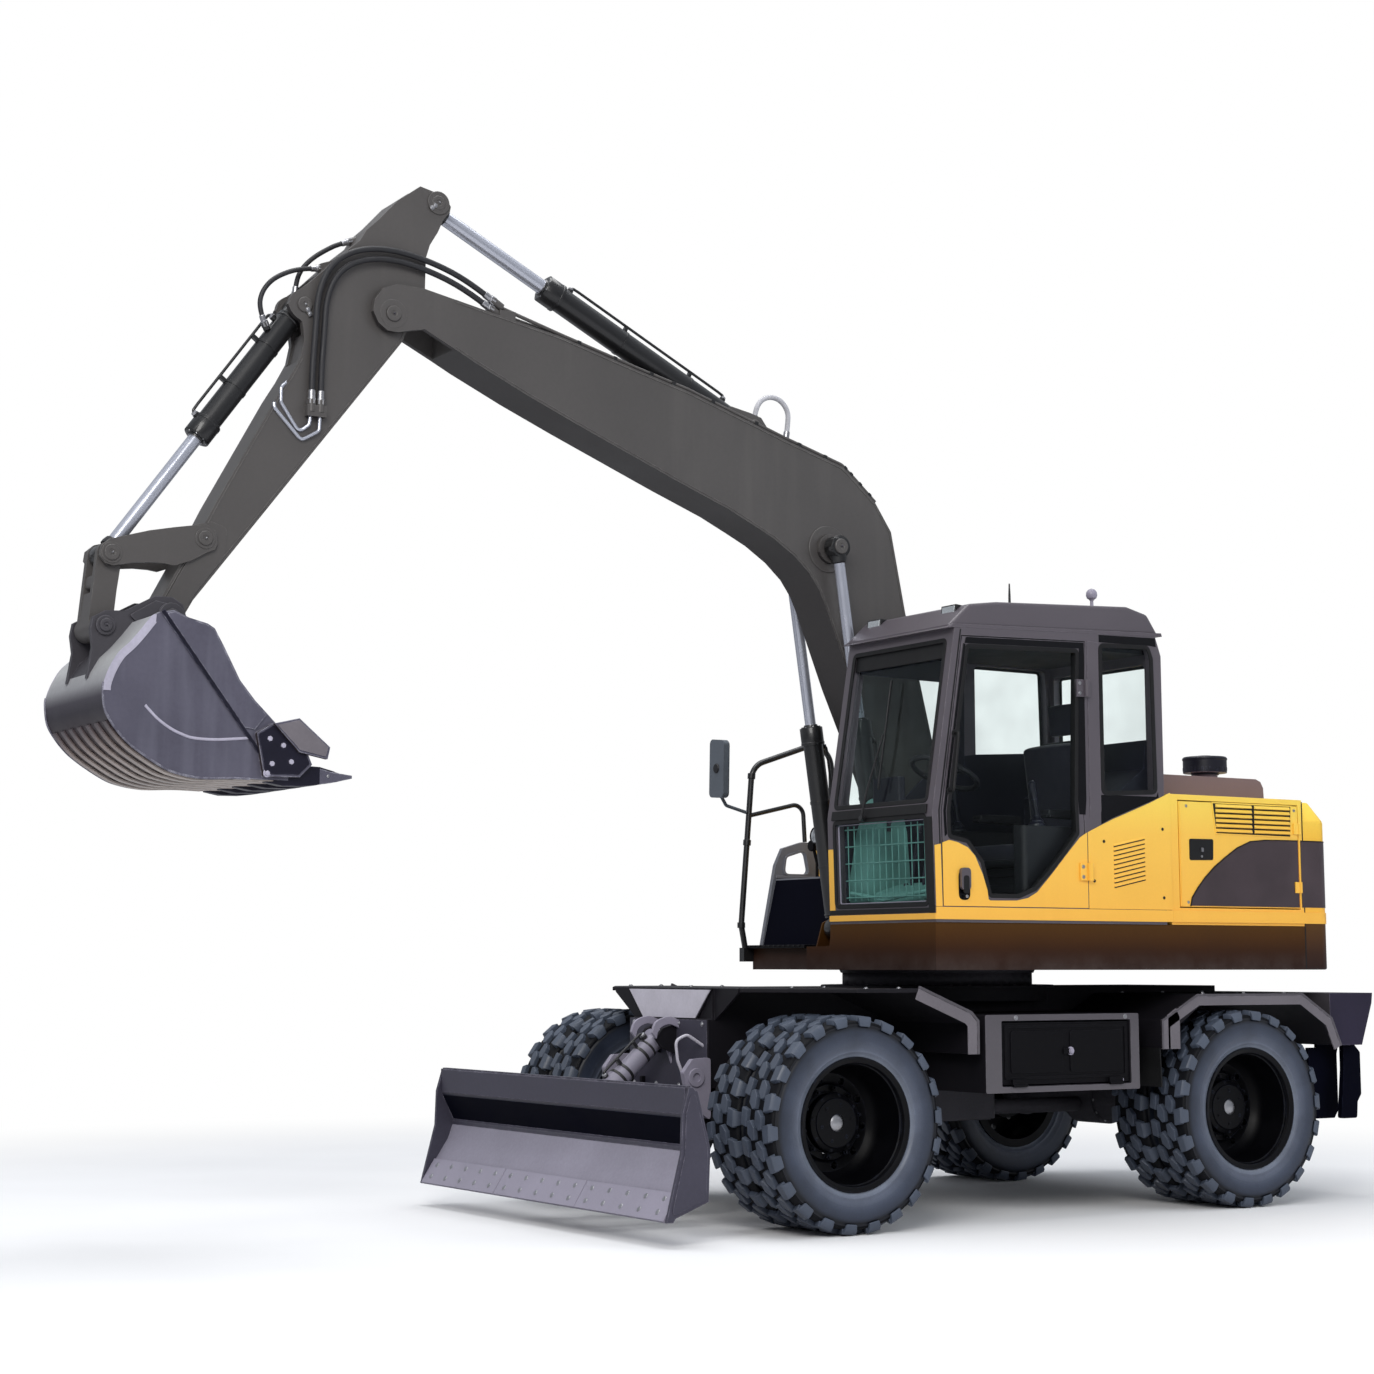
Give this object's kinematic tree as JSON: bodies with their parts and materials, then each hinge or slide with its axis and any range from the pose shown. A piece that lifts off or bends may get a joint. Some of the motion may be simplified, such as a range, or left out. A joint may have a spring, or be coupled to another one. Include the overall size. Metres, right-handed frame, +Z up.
{
  "type": "wheeled excavator",
  "caption": "Wheeled excavator: twin-tyred chassis with front blade, slewing upper with cab and engine bay, and a one-piece boom, arm and backhoe bucket on hydraulic cylinders.",
  "frame": {"origin": "middle of the overall footprint box, on the ground under the wheels", "axes": "+X forward, towards blade and bucket; +Y the machine's left, the cab side; +Z up"},
  "size_m": [7.089, 2.5, 5.125],
  "materials": {
    "yellow_paint": "gloss",
    "brown_paint": "satin",
    "chassis_grey": "satin",
    "boom_grey": "satin",
    "cab_grey": "satin",
    "cylinder_black": "satin",
    "chrome_rod": "polished",
    "bucket_steel": "worn",
    "tyre_rubber": "matt",
    "rim_black": "satin",
    "glass": "clear",
    "seat_fabric": "woven",
    "dark_plastic": "matt",
    "cast_grey": "rough",
    "hose_rubber": "matt"
  },
  "bodies": {
    "chassis": {"chassis_frame": "chassis_grey", "slew_ring": "cast_grey", "front_axle": "cast_grey", "rear_axle": "cast_grey", "drive_line": "cast_grey", "fenders": "chassis_grey", "side_boxes": "chassis_grey", "rear_bumper": "chassis_grey"},
    "left_box_door": {"left_box_door": "cylinder_black"},
    "right_box_door": {"right_box_door": "cylinder_black"},
    "left_knuckle": {"left_knuckle": "cast_grey"},
    "right_knuckle": {"right_knuckle": "cast_grey"},
    "steering_rod": {"steering_rod": "chrome_rod"},
    "front_left_wheel": {"front_left_tyres": "tyre_rubber", "front_left_rim": "rim_black"},
    "front_right_wheel": {"front_right_tyres": "tyre_rubber", "front_right_rim": "rim_black"},
    "rear_left_wheel": {"rear_left_tyres": "tyre_rubber", "rear_left_rim": "rim_black"},
    "rear_right_wheel": {"rear_right_tyres": "tyre_rubber", "rear_right_rim": "rim_black"},
    "blade": {"blade": "chassis_grey"},
    "blade_cylinder_barrel": {"blade_cylinder_barrel": "cylinder_black"},
    "blade_cylinder_rod": {"blade_cylinder_rod": "chrome_rod"},
    "upper": {"upper_frame": "brown_paint", "swing_motor": "cylinder_black", "counterweight": "yellow_paint", "engine_bay": "yellow_paint", "engine_block": "cast_grey", "right_tank": "yellow_paint", "right_steps": "cab_grey", "handrail": "cylinder_black", "mirror": "dark_plastic", "cab_shell": "cab_grey", "cab_roof": "cab_grey", "cab_glass": "glass", "seat": "seat_fabric", "cab_controls": "dark_plastic"},
    "cab_door": {"cab_door": "cab_grey", "door_glass": "glass"},
    "left_service_door": {"left_service_door": "yellow_paint"},
    "right_service_door": {"right_service_door": "yellow_paint"},
    "hood": {"hood": "cab_grey"},
    "boom": {"boom": "boom_grey", "boom_hose": "hose_rubber", "arm_hose_outer": "hose_rubber", "arm_hose_inner": "hose_rubber"},
    "boom_cylinder_barrel": {"boom_cylinder_barrel": "cylinder_black"},
    "boom_cylinder_rod": {"boom_cylinder_rod": "chrome_rod"},
    "arm": {"arm": "boom_grey", "bucket_hose_left": "hose_rubber", "bucket_hose_right": "hose_rubber"},
    "arm_cylinder_barrel": {"arm_cylinder_barrel": "cylinder_black"},
    "arm_cylinder_rod": {"arm_cylinder_rod": "chrome_rod"},
    "bucket": {"bucket": "bucket_steel"},
    "tipping_lever": {"tipping_lever": "boom_grey"},
    "bucket_link": {"bucket_link": "boom_grey"},
    "bucket_cylinder_barrel": {"bucket_cylinder_barrel": "cylinder_black"},
    "bucket_cylinder_rod": {"bucket_cylinder_rod": "chrome_rod"}
  },
  "joints": [
    {"name": "slew", "type": "hinge", "parent": "chassis", "child": "upper", "pos_m": [-1.3765, 0, 1.24], "axis": [0, 0, 1], "continuous": true},
    {"name": "left_steer", "type": "hinge", "parent": "chassis", "child": "left_knuckle", "pos_m": [0.0735, 0.6, 0.516], "axis": [0, 0, 1], "range_deg": [-30, 30]},
    {"name": "right_steer", "type": "hinge", "parent": "chassis", "child": "right_knuckle", "pos_m": [0.0735, -0.6, 0.516], "axis": [0, 0, 1], "range_deg": [-31, 31]},
    {"name": "steering_rod_slide", "type": "slide", "parent": "chassis", "child": "steering_rod", "axis": [0, 1, 0], "range_m": [-0.1014, 0.1014]},
    {"name": "front_left_wheel_spin", "type": "hinge", "parent": "left_knuckle", "child": "front_left_wheel", "pos_m": [0.0735, 0.96, 0.516], "axis": [0, 1, 0], "continuous": true},
    {"name": "front_right_wheel_spin", "type": "hinge", "parent": "right_knuckle", "child": "front_right_wheel", "pos_m": [0.0735, -0.96, 0.516], "axis": [0, 1, 0], "continuous": true},
    {"name": "rear_left_wheel_spin", "type": "hinge", "parent": "chassis", "child": "rear_left_wheel", "pos_m": [-2.5105, 0.96, 0.516], "axis": [0, 1, 0], "continuous": true},
    {"name": "rear_right_wheel_spin", "type": "hinge", "parent": "chassis", "child": "rear_right_wheel", "pos_m": [-2.5105, -0.96, 0.516], "axis": [0, 1, 0], "continuous": true},
    {"name": "left_box_door_hinge", "type": "hinge", "parent": "chassis", "child": "left_box_door", "pos_m": [-1.3765, 1.16, 0.67], "axis": [-1, 0, 0], "range_deg": [0, 95]},
    {"name": "right_box_door_hinge", "type": "hinge", "parent": "chassis", "child": "right_box_door", "pos_m": [-1.3765, -1.16, 0.67], "axis": [1, 0, 0], "range_deg": [0, 95]},
    {"name": "blade_lift", "type": "hinge", "parent": "chassis", "child": "blade", "pos_m": [0.3235, 0, 0.47], "axis": [0, -1, 0], "range_deg": [-14, 18]},
    {"name": "blade_cylinder_swing", "type": "hinge", "parent": "chassis", "child": "blade_cylinder_barrel", "pos_m": [0.4335, 0, 0.9], "axis": [0, -1, 0], "range_deg": [-9.56, 12.17]},
    {"name": "blade_cylinder_stroke", "type": "slide", "parent": "blade_cylinder_barrel", "child": "blade_cylinder_rod", "axis": [0.7493, 0, -0.6622], "range_m": [-0.131, 0.1031]},
    {"name": "cab_door_hinge", "type": "hinge", "parent": "upper", "child": "cab_door", "pos_m": [-1.4385, 1.216, 2.1], "axis": [0, 0, 1], "range_deg": [0, 172]},
    {"name": "left_service_door_hinge", "type": "hinge", "parent": "upper", "child": "left_service_door", "pos_m": [-2.9645, 1.2, 1.85], "axis": [0, 0, 1], "range_deg": [0, 105]},
    {"name": "right_service_door_hinge", "type": "hinge", "parent": "upper", "child": "right_service_door", "pos_m": [-2.9645, -1.2, 1.85], "axis": [0, 0, -1], "range_deg": [0, 105]},
    {"name": "hood_hinge", "type": "hinge", "parent": "upper", "child": "hood", "pos_m": [-2.1005, 0, 2.181], "axis": [0, 1, 0], "range_deg": [0, 60]},
    {"name": "boom_lift", "type": "hinge", "parent": "upper", "child": "boom", "pos_m": [-1.2965, 0, 1.75], "axis": [0, -1, 0], "range_deg": [-64, 6]},
    {"name": "boom_cylinder_swing", "type": "hinge", "parent": "upper", "child": "boom_cylinder_barrel", "pos_m": [-0.8615, 0, 1.47], "axis": [0, -1, 0], "range_deg": [-66.1, 7.48]},
    {"name": "boom_cylinder_stroke", "type": "slide", "parent": "boom_cylinder_barrel", "child": "boom_cylinder_rod", "axis": [0.1462, 0, 0.9893], "range_m": [-0.5608, 0.0643]},
    {"name": "arm_swing", "type": "hinge", "parent": "boom", "child": "arm", "pos_m": [2.0435, 0, 4.44], "axis": [0, 1, 0], "range_deg": [-36, 62], "deforming": ["arm_hose_outer", "arm_hose_inner"]},
    {"name": "arm_cylinder_swing", "type": "hinge", "parent": "boom", "child": "arm_cylinder_barrel", "pos_m": [-0.1115, 0, 4.13], "axis": [0, -1, 0], "range_deg": [-4.57, 2.71], "deforming": ["boom_hose"]},
    {"name": "arm_cylinder_stroke", "type": "slide", "parent": "arm_cylinder_barrel", "child": "arm_cylinder_rod", "axis": [0.8987, 0, 0.4385], "range_m": [-0.3936, 0.6626]},
    {"name": "bucket_curl", "type": "hinge", "parent": "arm", "child": "bucket", "pos_m": [3.1485, 0, 2.855], "axis": [0, 1, 0], "range_deg": [-100, 30]},
    {"name": "bucket_link_swing", "type": "hinge", "parent": "bucket", "child": "bucket_link", "pos_m": [3.4565, 0, 2.792], "axis": [0, 1, 0], "range_deg": [-40.79, 128.36]},
    {"name": "tipping_lever_swing", "type": "hinge", "parent": "arm", "child": "tipping_lever", "pos_m": [2.9775, 0, 3.239], "axis": [0, 1, 0], "range_deg": [-57.62, 18.31]},
    {"name": "bucket_cylinder_swing", "type": "hinge", "parent": "arm", "child": "bucket_cylinder_barrel", "pos_m": [2.4935, 0, 4.43], "axis": [0, 1, 0], "range_deg": [-10.57, 3.36], "deforming": ["bucket_hose_left", "bucket_hose_right"]},
    {"name": "bucket_cylinder_stroke", "type": "slide", "parent": "bucket_cylinder_barrel", "child": "bucket_cylinder_rod", "axis": [0.5831, 0, -0.8124], "range_m": [-0.4159, 0.1328]}
  ],
  "couplings": [
    {"joint": "right_steer", "follows": "left_steer", "ratio": 1},
    {"joint": "steering_rod_slide", "follows": "left_steer", "m_per_rad": -0.1843},
    {"joint": "blade_cylinder_swing", "follows": "blade_lift", "ratio": 0.65264},
    {"joint": "blade_cylinder_stroke", "follows": "blade_lift", "m_per_rad": -0.39959},
    {"joint": "boom_cylinder_swing", "follows": "boom_lift", "ratio": 1.0107},
    {"joint": "boom_cylinder_stroke", "follows": "boom_lift", "m_per_rad": 0.49043},
    {"joint": "arm_cylinder_swing", "follows": "arm_swing", "ratio": -0.07143},
    {"joint": "arm_cylinder_stroke", "follows": "arm_swing", "m_per_rad": 0.59262},
    {"joint": "bucket_link_swing", "follows": "bucket_curl", "ratio": -1.2511},
    {"joint": "tipping_lever_swing", "follows": "bucket_curl", "ratio": 0.56158},
    {"joint": "bucket_cylinder_swing", "follows": "bucket_curl", "ratio": 0.10304},
    {"joint": "bucket_cylinder_stroke", "follows": "bucket_curl", "m_per_rad": 0.23167}
  ]
}
